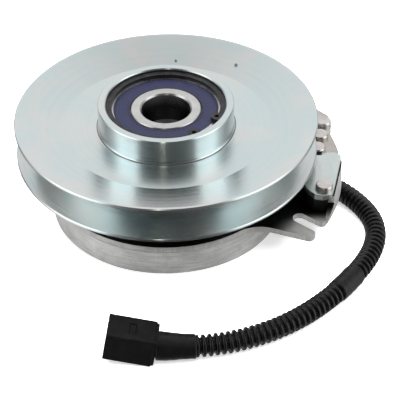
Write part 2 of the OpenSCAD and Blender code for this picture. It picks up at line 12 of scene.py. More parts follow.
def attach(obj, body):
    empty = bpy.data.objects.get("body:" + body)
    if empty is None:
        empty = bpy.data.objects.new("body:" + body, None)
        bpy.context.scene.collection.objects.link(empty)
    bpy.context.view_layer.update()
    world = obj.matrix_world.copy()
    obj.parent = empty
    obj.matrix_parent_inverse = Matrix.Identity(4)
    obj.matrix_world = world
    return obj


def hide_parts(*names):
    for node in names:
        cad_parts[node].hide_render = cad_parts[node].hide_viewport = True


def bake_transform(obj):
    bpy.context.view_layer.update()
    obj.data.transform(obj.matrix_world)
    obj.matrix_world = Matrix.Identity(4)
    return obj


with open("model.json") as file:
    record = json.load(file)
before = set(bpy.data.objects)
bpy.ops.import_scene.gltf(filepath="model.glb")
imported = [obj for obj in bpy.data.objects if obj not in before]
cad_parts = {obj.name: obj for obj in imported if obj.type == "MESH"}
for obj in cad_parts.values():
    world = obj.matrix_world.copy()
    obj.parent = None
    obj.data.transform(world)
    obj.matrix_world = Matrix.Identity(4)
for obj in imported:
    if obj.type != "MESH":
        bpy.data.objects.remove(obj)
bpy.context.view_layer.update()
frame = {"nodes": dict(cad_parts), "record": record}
NODES = frame["nodes"]
MM = 0.001

# ---- camera: the catalogue view, from the front and above ----

CAMERA_DISTANCE = 0.76545
CAMERA_ELEVATION = math.radians(38.672)
CAMERA_YAW = math.radians(1.282)
CAMERA_PITCH = math.radians(-0.079)
CAMERA_ROLL = math.radians(-1.4925)
CAMERA_LENS = 127.33


def make_camera():
    place = Vector((0, -math.cos(CAMERA_ELEVATION), math.sin(CAMERA_ELEVATION))) * CAMERA_DISTANCE
    ahead = -place.normalized()
    right = Vector((1, 0, 0))
    up = right.cross(ahead)
    ahead, right = (
        ahead * math.cos(CAMERA_YAW) + right * math.sin(CAMERA_YAW),
        right * math.cos(CAMERA_YAW) - ahead * math.sin(CAMERA_YAW),
    )
    ahead, up = (
        ahead * math.cos(CAMERA_PITCH) + up * math.sin(CAMERA_PITCH),
        up * math.cos(CAMERA_PITCH) - ahead * math.sin(CAMERA_PITCH),
    )
    right, up = (
        right * math.cos(CAMERA_ROLL) + up * math.sin(CAMERA_ROLL),
        up * math.cos(CAMERA_ROLL) - right * math.sin(CAMERA_ROLL),
    )
    data = bpy.data.cameras.new("camera")
    data.lens = CAMERA_LENS
    data.sensor_width = 36
    data.clip_start = 0.05
    data.clip_end = 100
    camera = bpy.data.objects.new("camera", data)
    bpy.context.scene.collection.objects.link(camera)
    turn = Matrix((right, up, -ahead)).transposed().to_4x4()
    camera.matrix_world = Matrix.Translation(place) @ turn
    bpy.context.scene.camera = camera


make_camera()

# ---- the lead: route points as in the CAD, in millimetres ----

LOOM_REST = 5.9
LOOM_ROUTE = [
    (63.1, 6.6, 6.4), (70, 7.4, 6.2), (77.5, 6.5, LOOM_REST), (85, 2.8, LOOM_REST),
    (92.2, -3.8, LOOM_REST), (98.7, -12, LOOM_REST), (103.8, -21.3, LOOM_REST),
    (106.6, -31, LOOM_REST), (106.7, -41, LOOM_REST), (104.5, -50, LOOM_REST),
    (100.9, -58.3, LOOM_REST), (95.9, -66.5, LOOM_REST), (90.1, -74.4, LOOM_REST),
    (83.5, -82.3, LOOM_REST), (76.1, -90, LOOM_REST), (67.8, -97.3, LOOM_REST),
    (58.8, -103.8, LOOM_REST), (49.2, -109.3, LOOM_REST), (39.1, -113.6, LOOM_REST),
    (28.6, -116.9, LOOM_REST), (18, -119, 6.2), (8.5, -119.9, 6.5), (0.5, -120.1, 7),
    (-7.9, -119.8, 7.6),
]
LOOM_R = 5.4 * MM
LOOM_ROOT_R = 3.95 * MM
LOOM_PITCH = 3.13 * MM
LOOM_SIDES = 48
RINGS_PER_PITCH = 10
SLIT_ANGLE = math.radians(215)
SLIT_DEPTH = 0.8 * MM

Route = namedtuple("Route", "points along heading side up")


def smooth_route(points, steps):
    """A Catmull-Rom curve through the points, as the CAD's lead has, with each point's length along it."""
    p = np.array(points, float) * MM
    padded = np.vstack([p[:1], p, p[-1:]])
    t = (np.arange(steps) / steps)[:, None]
    spans = []
    for a, b, c, d in zip(padded, padded[1:], padded[2:], padded[3:]):
        spans.append(0.5 * (2 * b + (c - a) * t + (2 * a - 5 * b + 4 * c - d) * t**2
                            + (3 * b - a - 3 * c + d) * t**3))
    line = np.vstack(spans + [p[-1:]])
    along = np.concatenate([[0], np.cumsum(np.linalg.norm(np.diff(line, axis=0), axis=1))])
    return line, along


FINE_LINE, FINE_ALONG = smooth_route(LOOM_ROUTE, 24)
LEAD_LENGTH = float(FINE_ALONG[-1])
HEADING_STEP = 0.4 * MM


def route_at(distances):
    """Points of the route at these distances along it, with a frame of directions at each."""
    def at(offset):
        along = np.asarray(distances) + offset
        return np.stack([np.interp(along, FINE_ALONG, FINE_LINE[:, k]) for k in range(3)], axis=1)

    points = at(0)
    heading = at(HEADING_STEP) - at(-HEADING_STEP)
    heading /= np.linalg.norm(heading, axis=1)[:, None]
    side = np.cross(heading, [0, 0, 1])
    side /= np.linalg.norm(side, axis=1)[:, None]
    return Route(points, np.asarray(distances), heading, side, np.cross(side, heading))


def add_mesh(name, points, faces):
    mesh = bpy.data.meshes.new(name)
    mesh.from_pydata([tuple(p) for p in points], [], faces)
    mesh.update()
    mesh.shade_smooth()
    piece = bpy.data.objects.new(name, mesh)
    bpy.context.scene.collection.objects.link(piece)
    return piece


def swept_tube(name, route, radius_at, sides):
    """A closed tube along the route. radius_at(along, angle) gives its radius."""
    angles = np.arange(sides) * 2 * math.pi / sides
    rings = len(route.points)
    points = []
    for i in range(rings):
        for a in angles:
            r = radius_at(route.along[i], a)
            points.append(route.points[i] + r * (math.cos(a) * route.side[i] + math.sin(a) * route.up[i]))
    faces = [
        (i * sides + k, (i + 1) * sides + k, (i + 1) * sides + (k + 1) % sides, i * sides + (k + 1) % sides)
        for i in range(rings - 1) for k in range(sides)
    ]
    last = (rings - 1) * sides
    faces.append(tuple(range(sides)))
    faces.append(tuple(last + k for k in range(sides - 1, -1, -1)))
    return add_mesh(name, points, faces)


def smoothstep(x, low, high):
    t = min(1.0, max(0.0, (x - low) / (high - low)))
    return t * t * (3 - 2 * t)


def angle_gap(a, b):
    return abs((a - b + math.pi) % (2 * math.pi) - math.pi)


def loom_radius(s, angle):
    """Ribs with rounded shoulders, and the slit that the loom is opened by."""
    phase = (s / LOOM_PITCH) % 1
    rib = smoothstep(0.5 - abs(phase - 0.5), 0.07, 0.34)
    r = LOOM_ROOT_R + (LOOM_R - LOOM_ROOT_R) * rib
    slit = 1 - smoothstep(angle_gap(angle, SLIT_ANGLE), 0.05, 0.14)
    return r - slit * SLIT_DEPTH


def make_loom():
    rings = int(LEAD_LENGTH / LOOM_PITCH * RINGS_PER_PITCH)
    route = route_at(np.linspace(0, LEAD_LENGTH, rings))
    piece = swept_tube("split_loom", route, loom_radius, LOOM_SIDES)
    return piece, route.points


BAND_FROM, BAND_TO = 0.1085, 0.1245
SLEEVE_FROM = 0.2055
TAPE_R = 5.75 * MM
SLEEVE_R = 6.1 * MM
SLEEVE_FLARE = 1.1 * MM
TAPE_SIDES = 56
TAPE_RINGS = 60


def tape_radius(radius, start, end, turn_pitch, flare):
    """A wrapped tape: each turn steps over the last one, and the ribs below show faintly."""
    def at(s, angle):
        turns = (s - start) / turn_pitch - angle / (2 * math.pi)
        step = 0.16 * MM * (turns % 1) ** 3
        ribs = 0.02 * MM * math.cos(2 * math.pi * s / LOOM_PITCH)
        edge = smoothstep(min(s - start, end - s), 0, 0.5 * MM)
        crease = 0.05 * MM * math.sin(7 * angle + 900 * s) * math.sin(3 * angle - 400 * s)
        wide = radius + flare * smoothstep(s, start + 2 * MM, end)
        return LOOM_R - 0.2 * MM + (wide - LOOM_R + 0.1 * MM) * edge - step * 0.6 + ribs + crease
    return at


def make_tape(name, start, end, radius, turn_pitch, flare=0.0):
    """A tape wound round the loom from start to end along the lead."""
    route = route_at(np.linspace(start, end, TAPE_RINGS))
    return swept_tube(name, route, tape_radius(radius, start, end, turn_pitch, flare), TAPE_SIDES)


loom, loom_path = make_loom()
band = make_tape("tape_wrap", BAND_FROM, BAND_TO, TAPE_R, 9 * MM)
sleeve = make_tape("tape_sleeve", SLEEVE_FROM, LEAD_LENGTH, SLEEVE_R, 14 * MM, SLEEVE_FLARE)

# ---- material nodes ----


class Surface:
    """A Principled material and short ways to wire procedural nodes into it."""

    def __init__(self, name, **constants):
        self.material = bpy.data.materials.new(name)
        self.material.use_nodes = True
        self.tree = self.material.node_tree
        self.shader = self.tree.nodes["Principled BSDF"]
        self.place = self.tree.nodes.new("ShaderNodeTexCoord").outputs["Object"]
        self.facing = self.tree.nodes.new("ShaderNodeTexCoord").outputs["Normal"]
        for socket, value in constants.items():
            self.shader.inputs[socket.replace("_", " ")].default_value = value

    def put(self, source, target):
        if isinstance(source, bpy.types.NodeSocket):
            self.tree.links.new(source, target)
        else:
            target.default_value = source

    def set(self, socket, source):
        self.put(source, self.shader.inputs[socket])

    def math(self, operation, a, b=0.0):
        node = self.tree.nodes.new("ShaderNodeMath")
        node.operation = operation
        self.put(a, node.inputs[0])
        self.put(b, node.inputs[1])
        return node.outputs[0]

    def vector(self, operation, a, b):
        node = self.tree.nodes.new("ShaderNodeVectorMath")
        node.operation = operation
        self.put(a, node.inputs[0])
        self.put(b, node.inputs[1])
        return node.outputs["Vector"]

    def split(self, vector):
        node = self.tree.nodes.new("ShaderNodeSeparateXYZ")
        self.put(vector, node.inputs[0])
        return node.outputs

    def join(self, x, y, z):
        node = self.tree.nodes.new("ShaderNodeCombineXYZ")
        for source, target in zip((x, y, z), node.inputs):
            self.put(source, target)
        return node.outputs[0]

    def noise(self, scale, detail=2.0, vector=None, roughness=0.5, distortion=0.0):
        """Noise from 0 to 1, about 0.5, with features of roughly 1/scale metres."""
        node = self.tree.nodes.new("ShaderNodeTexNoise")
        self.put(self.place if vector is None else vector, node.inputs["Vector"])
        node.inputs["Scale"].default_value = scale
        node.inputs["Detail"].default_value = detail
        node.inputs["Roughness"].default_value = roughness
        node.inputs["Distortion"].default_value = distortion
        return node.outputs["Fac"]

    def cells(self, scale, feature="F1"):
        """Distance to the nearest of scattered points, about 1/scale metres apart."""
        node = self.tree.nodes.new("ShaderNodeTexVoronoi")
        node.feature = feature
        self.put(self.place, node.inputs["Vector"])
        node.inputs["Scale"].default_value = scale
        return node.outputs["Distance"]

    def remap(self, value, low, high, to_low=0.0, to_high=1.0):
        """Runs smoothly from to_low to to_high while value runs from low to high, and is clamped outside."""
        node = self.tree.nodes.new("ShaderNodeMapRange")
        node.interpolation_type = "SMOOTHSTEP"
        self.put(value, node.inputs["Value"])
        limits = {"From Min": low, "From Max": high, "To Min": to_low, "To Max": to_high}
        for socket, number in limits.items():
            node.inputs[socket].default_value = number
        return node.outputs["Result"]

    def mix(self, share, a, b):
        """A colour between a and b."""
        node = self.tree.nodes.new("ShaderNodeMix")
        node.data_type = "RGBA"
        self.put(share, node.inputs["Factor"])
        for source, target in ((a, node.inputs["A"]), (b, node.inputs["B"])):
            if not isinstance(source, bpy.types.NodeSocket):
                source = (*source, 1.0)
            self.put(source, target)
        return node.outputs["Result"]

    def blend(self, share, a, b):
        """A number between a and b."""
        node = self.tree.nodes.new("ShaderNodeMix")
        self.put(share, node.inputs["Factor"])
        self.put(a, node.inputs["A"])
        self.put(b, node.inputs["B"])
        return node.outputs["Result"]

    def bump(self, height, depth, under=None):
        """Height from 0 to 1 stands for depth metres."""
        node = self.tree.nodes.new("ShaderNodeBump")
        node.inputs["Strength"].default_value = 1.0
        node.inputs["Distance"].default_value = depth
        self.put(height, node.inputs["Height"])
        if under is not None:
            self.put(under, node.inputs["Normal"])
        return node.outputs["Normal"]

    def reach(self, x, y, y_share=1.0):
        """The length of (x, y), where y counts for less if y_share is below 1."""
        y_part = self.math("MULTIPLY", y, self.math("MULTIPLY", y, y_share))
        return self.math("SQRT", self.math("ADD", self.math("MULTIPLY", x, x), y_part))

    def radius(self):
        x, y, _ = self.split(self.place)
        return self.reach(x, y)

    def turned(self, lines_per_mm, seed):
        """Rings round the Z axis, as a lathe leaves: they change with radius and height, not with angle."""
        k = lines_per_mm / MM
        _, _, z = self.split(self.place)
        rings = self.math("MULTIPLY", self.radius(), k)
        height = self.math("MULTIPLY", z, k)
        return self.noise(1.0, 2.0, self.join(rings, height, seed))


def dress(name, material):
    """Gives this CAD node the material."""
    slots = NODES[name].data.materials
    slots.clear()
    slots.append(material)


def metal(name, roughness, **more):
    return Surface(name, Metallic=1.0, Roughness=roughness, **more)


# ---- materials ----


def turned_metal(name, roughness, anisotropic):
    """Metal whose tool marks run round the Z axis, so that highlights spread across them."""
    s = metal(name, roughness, Anisotropic=anisotropic, Anisotropic_Rotation=0.25)
    tangent = s.tree.nodes.new("ShaderNodeTangent")
    tangent.direction_type = "RADIAL"
    tangent.axis = "Z"
    s.put(tangent.outputs[0], s.shader.inputs["Tangent"])
    return s


def punch_mark(s, x, y, size):
    """1 inside a small oval dent, 0 outside."""
    away = s.vector("SUBTRACT", s.place, (x * MM, y * MM, 0))
    px, py, _ = s.split(away)
    return s.remap(s.reach(px, py, 0.4), size * MM, 0.4 * size * MM)


def product(s, first, *others):
    """All of these masks times one another."""
    for other in others:
        first = s.math("MULTIPLY", first, other)
    return first


# Where the pulley gets painted shade: along the root line, in the hub pocket, in the punch dents and in a
# band under the lip
ROOT_LINE_R = 0.0358
ROOT_LINE_Z = 0.0500
POCKET_R = 0.0330
POCKET_Z = 0.0628
PUNCH_MARKS = ((6.1, 57.7, 0.9), (38.8, 49.7, 1.1))
LIP_R = 0.0766
LIP_LOW_Z = 0.0536
LIP_HIGH_Z = 0.0550


def zinc_pulley():
    s = turned_metal("zinc_turned", 0.2, 0.75)
    r = s.radius()
    _, _, z = s.split(s.place)
    clouds = s.noise(26, 3.0, distortion=0.6)
    patches = s.noise(75, 3.0, distortion=1.2)
    fine = s.turned(3.1, 1.3)
    wide = s.turned(0.9, 7.7)
    tint = s.mix(s.remap(clouds, 0.35, 0.68), (0.70, 0.79, 0.80), (0.79, 0.81, 0.80))
    tint = s.mix(s.remap(patches, 0.5, 0.75, 0.0, 0.35), tint, (0.66, 0.80, 0.84))
    lines = s.math("MULTIPLY", s.remap(fine, 0.3, 0.75), s.remap(wide, 0.25, 0.7, 0.5, 1.0))
    tint = s.mix(s.math("MULTIPLY", lines, 0.07), tint, (0.5, 0.57, 0.57))
    # painted shade: the root line and the hub pocket are darkened where shade falls
    from_root = s.math("ABSOLUTE", s.math("SUBTRACT", r, ROOT_LINE_R))
    root_line_shade = product(s, s.remap(from_root, 0.0005, 0.0002), s.remap(z, ROOT_LINE_Z + 0.0003, ROOT_LINE_Z))
    pocket_shade = product(s, s.remap(r, POCKET_R, POCKET_R - 0.0004), s.remap(z, POCKET_Z + 0.0002, POCKET_Z))
    marks = s.math("MAXIMUM", *(punch_mark(s, *mark) for mark in PUNCH_MARKS))
    # painted shade: the punch dents are darkened too; their bump below is real
    dark = s.math("MAXIMUM", s.math("MULTIPLY", pocket_shade, 0.8), s.math("MULTIPLY", marks, 0.75))
    dark = s.math("MAXIMUM", s.math("MULTIPLY", root_line_shade, 0.8), dark)
    # painted shade: a dark band just under the upper lip
    under_lip_shade = product(s, s.remap(r, LIP_R, LIP_R + 0.0008), s.remap(z, LIP_LOW_Z, LIP_LOW_Z + 0.0004),
                        s.remap(z, LIP_HIGH_Z, LIP_HIGH_Z - 0.0002))
    tint = s.mix(s.math("MULTIPLY", under_lip_shade, 0.6), tint, (0.22, 0.24, 0.24))
    s.set("Base Color", s.mix(dark, tint, (0.07, 0.065, 0.06)))
    lathe_rough = s.remap(wide, 0.3, 0.7, 0.17, 0.23)
    s.set("Roughness", s.math("ADD", lathe_rough, s.remap(clouds, 0.3, 0.7, 0.0, 0.05)))
    face = s.math("ADD", fine, s.math("MULTIPLY", wide, 1.6))
    s.set("Normal", s.bump(marks, -0.35 * MM, s.bump(face, 0.0016 * MM)))
    return s.material


def zinc_strap():
    s = metal("zinc_strap", 0.34)
    clouds = s.noise(60, 3.0)
    grain = s.noise(900, 3.0, s.vector("MULTIPLY", s.place, (1, 0.12, 1)))
    s.set("Base Color", s.mix(s.remap(clouds, 0.35, 0.7), (0.72, 0.80, 0.79), (0.80, 0.82, 0.80)))
    s.set("Roughness", s.remap(grain, 0.3, 0.7, 0.27, 0.42))
    s.set("Normal", s.bump(grain, 0.012 * MM))
    return s.material


def zinc_plate():
    s = metal("zinc_plate", 0.4)
    clouds = s.noise(75, 4.0, distortion=0.8)
    grain = s.noise(1100, 2.0)
    s.set("Base Color", s.mix(s.remap(clouds, 0.3, 0.7), (0.60, 0.57, 0.52), (0.72, 0.70, 0.66)))
    s.set("Roughness", s.remap(grain, 0.3, 0.7, 0.34, 0.5))
    s.set("Normal", s.bump(grain, 0.014 * MM))
    return s.material


def rivet_steel():
    s = metal("rivet_steel", 0.24)
    clouds = s.noise(140, 3.0)
    grain = s.noise(1500, 2.0)
    s.set("Base Color", s.mix(s.remap(clouds, 0.35, 0.65), (0.66, 0.61, 0.59), (0.80, 0.77, 0.76)))
    s.set("Roughness", s.remap(clouds, 0.3, 0.7, 0.18, 0.34))
    s.set("Normal", s.bump(grain, 0.01 * MM))
    return s.material


SHELL_TOP_Z = 0.0150


def forged_steel():
    """Matte grey forging with tool rings on its side; a painted highlight runs along its top edge and its
    foot.
    """
    s = Surface("forged_steel", Metallic=0.4, Roughness=0.5)
    x, y, z = s.split(s.place)
    # painted highlight: light bands along the top edge and at the foot
    edge_highlight = s.math("MAXIMUM", s.remap(z, SHELL_TOP_Z - 0.0004, SHELL_TOP_Z), s.remap(z, 0.0005, 0.0002))
    lumps = s.noise(330, 5.0, roughness=0.62)
    pits = s.cells(700, "SMOOTH_F1")
    cloud = s.noise(70, 4.0, distortion=1.0)
    drawn = s.join(s.math("MULTIPLY", x, 60.0), s.math("MULTIPLY", y, 60.0), s.math("MULTIPLY", z, 900.0))
    rings = s.noise(1.0, 3.0, drawn)
    tone = s.mix(s.remap(s.math("ADD", cloud, rings), 0.75, 1.3), (0.34, 0.34, 0.335), (0.47, 0.47, 0.465))
    tone = s.mix(s.remap(pits, 0.1, 0.32, 0.3, 0.0), tone, (0.16, 0.155, 0.15))
    s.set("Base Color", s.mix(edge_highlight, tone, (0.72, 0.72, 0.71)))
    s.set("Roughness", s.remap(lumps, 0.3, 0.7, 0.44, 0.62))
    height = s.math("ADD", s.math("ADD", lumps, s.math("MULTIPLY", pits, 0.4)), rings)
    s.set("Normal", s.bump(height, 0.07 * MM))
    return s.material


# where the painted sky reflection turns the plate's top grey
SKY_REFLECTION_R = (0.069, 0.081)
SKY_REFLECTION_Y = (-0.0365, -0.0455)
TAB_TOP_Z = 0.0270


def black_plate():
    """Sheet steel, sheared bright at its edges. Its top has painted shade, near black by the pulley, and a
    painted sky reflection in grey towards the ear's tip.
    """
    s = Surface("black_plate", Roughness=0.36)
    _, _, nz = s.split(s.facing)
    _, y, z = s.split(s.place)
    upright = s.remap(s.math("ABSOLUTE", nz), 0.75, 0.45)
    # painted reflection: the top turns grey towards the ear's tip, where it mirrors the sky
    painted_sky_reflection = product(s, s.remap(s.radius(), *SKY_REFLECTION_R), s.remap(y, *SKY_REFLECTION_Y))
    # painted shadow: black along the tab's top, where the strap's edge shades it
    tab_top_shadow = s.remap(z, TAB_TOP_Z - 0.0003, TAB_TOP_Z)
    drag = s.noise(1.0, 3.0, s.vector("MULTIPLY", s.place, (900, 900, 120)))
    torn = s.noise(900, 4.0, roughness=0.7)
    patch = s.noise(110, 4.0, roughness=0.6)
    edge_tone = s.mix(s.remap(s.math("ADD", drag, patch), 0.7, 1.3), (0.33, 0.33, 0.325), (0.44, 0.44, 0.43))
    reflected_grey = s.mix(s.remap(patch, 0.3, 0.7), (0.19, 0.19, 0.18), (0.26, 0.26, 0.25))
    # painted shade: the top's near-black stands for the pulley's dark underside mirrored in it
    painted_dark_reflection = s.mix(s.remap(torn, 0.3, 0.7), (0.010, 0.010, 0.012), (0.028, 0.028, 0.03))
    tone = s.mix(upright, s.mix(painted_sky_reflection, painted_dark_reflection, reflected_grey), edge_tone)
    s.set("Base Color", s.mix(tab_top_shadow, tone, (0.003, 0.003, 0.0035)))
    s.set("Metallic", s.blend(s.math("MAXIMUM", upright, painted_sky_reflection), 1.0, 0.62))
    face_rough = s.remap(patch, 0.3, 0.7, 0.3, 0.38)
    s.set("Roughness", s.blend(upright, face_rough, s.remap(torn, 0.3, 0.7, 0.46, 0.6)))
    s.set("Normal", s.bump(torn, 0.015 * MM))
    return s.material


def black_magnet():
    s = Surface("black_magnet", Roughness=0.34, Specular_IOR_Level=0.5)
    clouds = s.noise(90, 3.0)
    grain = s.noise(1400, 2.0)
    s.set("Base Color", s.mix(clouds, (0.001, 0.001, 0.0012), (0.003, 0.003, 0.0034)))
    s.set("Roughness", s.remap(clouds, 0.3, 0.7, 0.3, 0.44))
    s.set("Normal", s.bump(grain, 0.006 * MM))
    return s.material


BORE_R = 0.0128


def bearing_steel():
    s = turned_metal("bearing_steel", 0.26, 0.8)
    fine = s.turned(4.0, 3.1)
    clouds = s.noise(200, 3.0)
    tint = s.mix(s.remap(clouds, 0.3, 0.7), (0.66, 0.66, 0.655), (0.76, 0.76, 0.75))
    tint = s.mix(s.remap(fine, 0.45, 0.8, 0.0, 0.25), tint, (0.45, 0.45, 0.45))
    _, _, z = s.split(s.place)
    # painted shade: the bore is darkened, more so deeper down
    bore_shade = product(s, s.remap(s.radius(), BORE_R + 0.0003, BORE_R), s.remap(z, 0.0600, 0.0520, 0.35, 1.0))
    s.set("Base Color", s.mix(bore_shade, tint, (0.07, 0.07, 0.07)))
    s.set("Roughness", s.remap(clouds, 0.3, 0.7, 0.27, 0.31))
    s.set("Normal", s.bump(fine, 0.002 * MM))
    return s.material


def ball_steel():
    s = metal("ball_steel", 0.07)
    smudge = s.noise(450, 3.0)
    s.set("Base Color", s.mix(smudge, (0.78, 0.78, 0.79), (0.86, 0.86, 0.87)))
    s.set("Roughness", s.remap(smudge, 0.35, 0.7, 0.04, 0.14))
    return s.material


def cage_steel():
    s = metal("cage_steel", 0.34)
    grain = s.noise(700, 3.0)
    s.set("Base Color", s.mix(grain, (0.55, 0.50, 0.36), (0.70, 0.66, 0.50)))
    s.set("Roughness", s.remap(grain, 0.3, 0.7, 0.28, 0.42))
    s.set("Normal", s.bump(grain, 0.01 * MM))
    return s.material


SEAL_INNER_R = 0.0191
SEAL_OUTER_R = 0.0265


def seal_rubber():
    """Moulded blue-violet rubber, black at its two lips, with faint moulding rings."""
    s = Surface("seal_rubber", Roughness=0.45, Specular_IOR_Level=0.3)
    r = s.radius()
    rings = s.turned(1.1, 5.0)
    grain = s.noise(1600, 3.0)
    dust = s.noise(260, 4.0, roughness=0.7)
    lip = s.math("MAXIMUM", s.remap(r, SEAL_INNER_R, SEAL_INNER_R - 0.0003),
                 s.remap(r, SEAL_OUTER_R, SEAL_OUTER_R + 0.0003))
    tint = s.mix(s.remap(rings, 0.3, 0.7), (0.0075, 0.008, 0.021), (0.0115, 0.012, 0.028))
    tint = s.mix(s.remap(dust, 0.5, 0.85, 0.0, 0.3), tint, (0.03, 0.032, 0.05))
    s.set("Base Color", s.mix(lip, tint, (0.006, 0.006, 0.008)))
    s.set("Roughness", s.remap(dust, 0.3, 0.7, 0.38, 0.52))
    s.set("Normal", s.bump(s.math("ADD", grain, rings), 0.012 * MM))
    return s.material


def black_rubber():
    s = Surface("black_rubber", Roughness=0.5)
    grain = s.noise(1300, 3.0)
    s.set("Base Color", s.mix(s.remap(grain, 0.3, 0.8), (0.012, 0.012, 0.013), (0.035, 0.035, 0.036)))
    s.set("Roughness", s.remap(grain, 0.3, 0.7, 0.42, 0.6))
    s.set("Normal", s.bump(grain, 0.015 * MM))
    return s.material


def spring_steel():
    s = Surface("spring_steel", Metallic=0.6, Roughness=0.42)
    patch = s.noise(240, 3.0)
    grain = s.noise(1200, 2.0)
    s.set("Base Color", s.mix(s.remap(patch, 0.35, 0.7), (0.016, 0.016, 0.017), (0.028, 0.027, 0.028)))
    s.set("Roughness", s.remap(patch, 0.3, 0.7, 0.36, 0.44))
    s.set("Normal", s.bump(grain, 0.012 * MM))
    return s.material


def rotor_steel():
    s = turned_metal("rotor_steel", 0.32, 0.85)
    fine = s.turned(2.6, 9.0)
    clouds = s.noise(60, 3.0)
    tint = s.mix(s.remap(clouds, 0.3, 0.7), (0.42, 0.42, 0.43), (0.48, 0.48, 0.49))
    s.set("Base Color", s.mix(s.remap(fine, 0.4, 0.75, 0.0, 0.3), tint, (0.22, 0.22, 0.22)))
    s.set("Roughness", s.remap(clouds, 0.3, 0.7, 0.3, 0.36))
    s.set("Normal", s.bump(fine, 0.002 * MM))
    return s.material


def friction_lining():
    s = Surface("friction_lining", Roughness=0.8)
    crumbs = s.cells(1500)
    fibre = s.noise(700, 4.0, roughness=0.7)
    tint = s.mix(s.remap(fibre, 0.3, 0.7), (0.055, 0.045, 0.036), (0.13, 0.11, 0.09))
    s.set("Base Color", s.mix(s.remap(crumbs, 0.25, 0.05, 0.0, 0.5), tint, (0.36, 0.26, 0.14)))
    s.set("Roughness", s.remap(fibre, 0.3, 0.7, 0.7, 0.9))
    s.set("Normal", s.bump(fibre, 0.05 * MM))
    return s.material


WIRE_PITCH = 0.6 * MM


def copper_wire():
    """Enamelled turns laid side by side."""
    s = metal("copper_wire", 0.3, Coat_Weight=0.6, Coat_Roughness=0.12)
    r = s.radius()
    _, _, z = s.split(s.place)
    turn = 2 * math.pi / WIRE_PITCH
    row = s.math("SINE", s.math("MULTIPLY", r, turn))
    layer = s.math("SINE", s.math("MULTIPLY", z, turn))
    wire = s.math("MULTIPLY", s.math("ADD", row, layer), 0.25)
    clouds = s.noise(120, 2.0)
    s.set("Base Color", s.mix(clouds, (0.50, 0.17, 0.06), (0.72, 0.30, 0.13)))
    s.set("Roughness", s.remap(clouds, 0.3, 0.7, 0.22, 0.38))
    s.set("Normal", s.bump(wire, 0.2 * MM))
    return s.material


def bobbin_plastic():
    s = Surface("bobbin_plastic", Roughness=0.45, Subsurface_Weight=0.1)
    clouds = s.noise(70, 3.0)
    grain = s.noise(900, 2.0)
    s.set("Base Color", s.mix(clouds, (0.66, 0.62, 0.50), (0.76, 0.72, 0.62)))
    s.set("Roughness", s.remap(grain, 0.3, 0.7, 0.38, 0.54))
    s.set("Normal", s.bump(grain, 0.012 * MM))
    return s.material


def potting():
    s = Surface("potting", Roughness=0.2, Coat_Weight=0.5, Coat_Roughness=0.08)
    pool = s.noise(90, 2.0)
    bubbles = s.cells(380)
    s.set("Base Color", s.mix(pool, (0.010, 0.011, 0.012), (0.025, 0.027, 0.03)))
    s.set("Roughness", s.remap(pool, 0.3, 0.7, 0.14, 0.3))
    s.set("Normal", s.bump(s.math("ADD", pool, s.remap(bubbles, 0.0, 0.12)), 0.08 * MM))
    return s.material


def loom_plastic():
    s = Surface("loom_plastic", Roughness=0.24, Specular_IOR_Level=0.42)
    scuff = s.noise(330, 4.0, roughness=0.7)
    grain = s.noise(1500, 2.0)
    s.set("Base Color", s.mix(s.remap(scuff, 0.45, 0.85), (0.0012, 0.0012, 0.0014), (0.005, 0.005, 0.0052)))
    s.set("Roughness", s.remap(scuff, 0.3, 0.75, 0.18, 0.32))
    s.set("Normal", s.bump(grain, 0.008 * MM))
    return s.material


def tape_vinyl():
    s = Surface("tape_vinyl", Roughness=0.3, Specular_IOR_Level=0.36)
    stretch = s.noise(1.0, 3.0, s.vector("MULTIPLY", s.place, (420, 420, 1400)))
    dust = s.noise(600, 4.0, roughness=0.75)
    s.set("Base Color", s.mix(s.remap(dust, 0.5, 0.85), (0.0015, 0.0015, 0.0018), (0.006, 0.006, 0.0065)))
    s.set("Roughness", s.remap(stretch, 0.3, 0.7, 0.28, 0.42))
    s.set("Normal", s.bump(stretch, 0.02 * MM))
    return s.material


def connector_plastic():
    s = Surface("connector_plastic", Roughness=0.55, Specular_IOR_Level=0.2)
    spark = s.noise(1700, 3.0, roughness=0.6)
    scuff = s.noise(240, 4.0, roughness=0.7)
    s.set("Base Color", s.mix(s.remap(scuff, 0.45, 0.85), (0.0015, 0.0015, 0.0015), (0.005, 0.005, 0.005)))
    s.set("Roughness", s.remap(scuff, 0.3, 0.7, 0.42, 0.58))
    s.set("Normal", s.bump(spark, 0.02 * MM))
    return s.material


def terminal_metal():
    s = metal("terminal_metal", 0.26)
    clouds = s.noise(300, 3.0)
    s.set("Base Color", s.mix(clouds, (0.62, 0.53, 0.32), (0.78, 0.74, 0.60)))
    s.set("Roughness", s.remap(clouds, 0.3, 0.7, 0.2, 0.36))
    s.set("Normal", s.bump(clouds, 0.01 * MM))
    return s.material


MATERIALS = {
    "zinc_pulley": zinc_pulley(),
    "zinc_strap": zinc_strap(),
    "zinc_plate": zinc_plate(),
    "rivet_steel": rivet_steel(),
    "forged_steel": forged_steel(),
    "black_plate": black_plate(),
    "black_magnet": black_magnet(),
    "bearing_steel": bearing_steel(),
    "ball_steel": ball_steel(),
    "cage_steel": cage_steel(),
    "seal_rubber": seal_rubber(),
    "black_seal": black_rubber(),
    "spring_steel": spring_steel(),
    "rotor_steel": rotor_steel(),
    "lining": friction_lining(),
    "copper_wire": copper_wire(),
    "bobbin_plastic": bobbin_plastic(),
    "potting": potting(),
    "loom_plastic": loom_plastic(),
    "tape_vinyl": tape_vinyl(),
    "connector_plastic": connector_plastic(),
    "terminal_metal": terminal_metal(),
}
SLOTS = {subpart["node"]: subpart["material_slot"] for subpart in frame["record"]["subparts"]}
for node, slot in SLOTS.items():
    dress(node, MATERIALS[slot])

